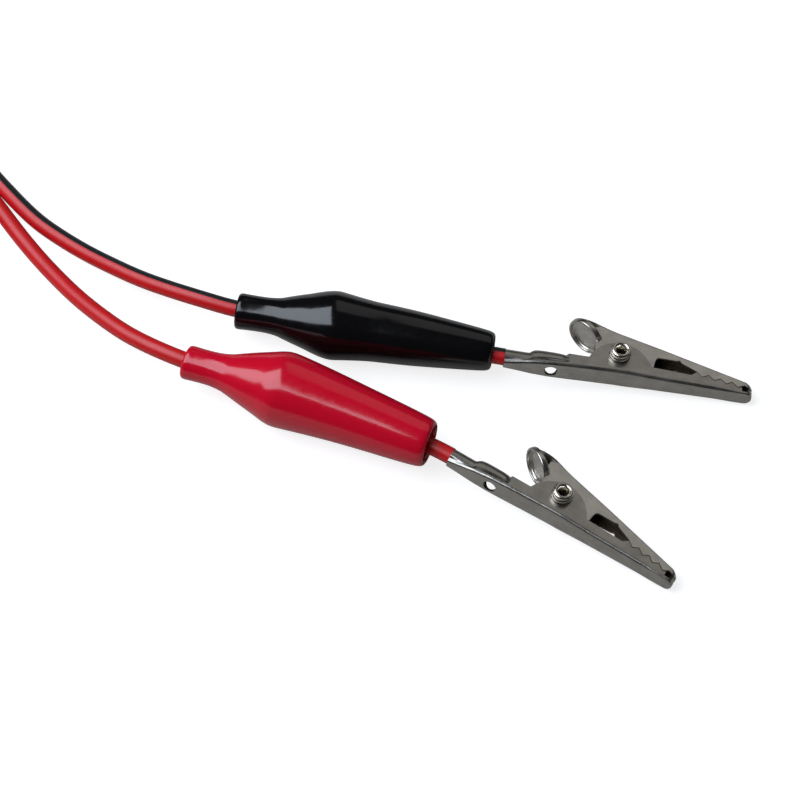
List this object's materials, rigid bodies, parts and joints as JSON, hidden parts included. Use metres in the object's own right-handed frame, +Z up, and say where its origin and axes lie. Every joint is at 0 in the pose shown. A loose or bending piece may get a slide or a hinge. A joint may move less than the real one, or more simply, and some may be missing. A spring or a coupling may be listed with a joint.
{
  "type": "bench power supply output leads with alligator clips",
  "caption": "Pair of bench output leads: sprung metal alligator clips with sliding red and black boots on a twin red cable wound in a tied coil, ending in banana plugs.",
  "frame": {"origin": "on the surface the leads lie on, under the middle of the two clips with their boots", "axes": "+X from the cable towards the noses of the clips, +Y from the red clip towards the black clip, +Z up"},
  "size_m": [0.2218, 0.1373, 0.0152],
  "materials": {
    "jaw_steel": "satin, nickel plated, light wear",
    "rivet_steel": "satin, rolled and burnished",
    "spring_steel": "satin",
    "copper_strand": "satin, tinned strands at the cut end",
    "red_boot_vinyl": "gloss",
    "black_boot_vinyl": "gloss",
    "red_cable": "semi-gloss",
    "striped_cable": "semi-gloss, red with one black stripe",
    "red_plug_plastic": "satin",
    "black_plug_plastic": "satin",
    "plug_metal": "bright nickel",
    "tie_plastic": "satin"
  },
  "bodies": {
    "leads": {"red_lower_jaw": "jaw_steel", "red_pivot_rivet": "rivet_steel", "red_jaw_spring": "spring_steel", "red_crimped_core": "copper_strand", "red_wire": "red_cable", "red_tail": "red_cable", "red_plug_pin": "plug_metal", "red_plug_sleeve": "red_plug_plastic", "red_plug_screw": "plug_metal", "red_plug_collar": "red_plug_plastic", "black_lower_jaw": "jaw_steel", "black_pivot_rivet": "rivet_steel", "black_jaw_spring": "spring_steel", "black_crimped_core": "copper_strand", "black_wire": "striped_cable", "black_tail": "striped_cable", "black_plug_pin": "plug_metal", "black_plug_sleeve": "black_plug_plastic", "black_plug_screw": "plug_metal", "black_plug_collar": "black_plug_plastic", "cable_coil": "red_cable", "coil_tie": "tie_plastic"},
    "red_jaw": {"red_upper_jaw": "jaw_steel"},
    "black_jaw": {"black_upper_jaw": "jaw_steel"},
    "red_boot_body": {"red_boot": "red_boot_vinyl"},
    "black_boot_body": {"black_boot": "black_boot_vinyl"}
  },
  "joints": [
    {"name": "red_jaw_hinge", "type": "hinge", "parent": "leads", "child": "red_jaw", "pos_m": [0.01761, -0.01368, 0.00436], "axis": [0.1527, 0.0712, 0.9857], "range_deg": [0, 22], "stiffness_Nm_per_rad": 0.08, "springref_deg": -34.38, "deforming": ["red_jaw_spring"]},
    {"name": "black_jaw_hinge", "type": "hinge", "parent": "leads", "child": "black_jaw", "pos_m": [0.02998, 0.01794, 0.00432], "axis": [0.1075, 0.0919, 0.9899], "range_deg": [0, 22], "stiffness_Nm_per_rad": 0.08, "springref_deg": -34.38, "deforming": ["black_jaw_spring"]},
    {"name": "red_boot_slide", "type": "slide", "parent": "leads", "child": "red_boot_body", "axis": [0.9354, -0.3535, 0], "range_m": [-0.005, 0.002]},
    {"name": "black_boot_slide", "type": "slide", "parent": "leads", "child": "black_boot_body", "axis": [0.9833, -0.1822, 0], "range_m": [-0.005, 0.006]}
  ]
}
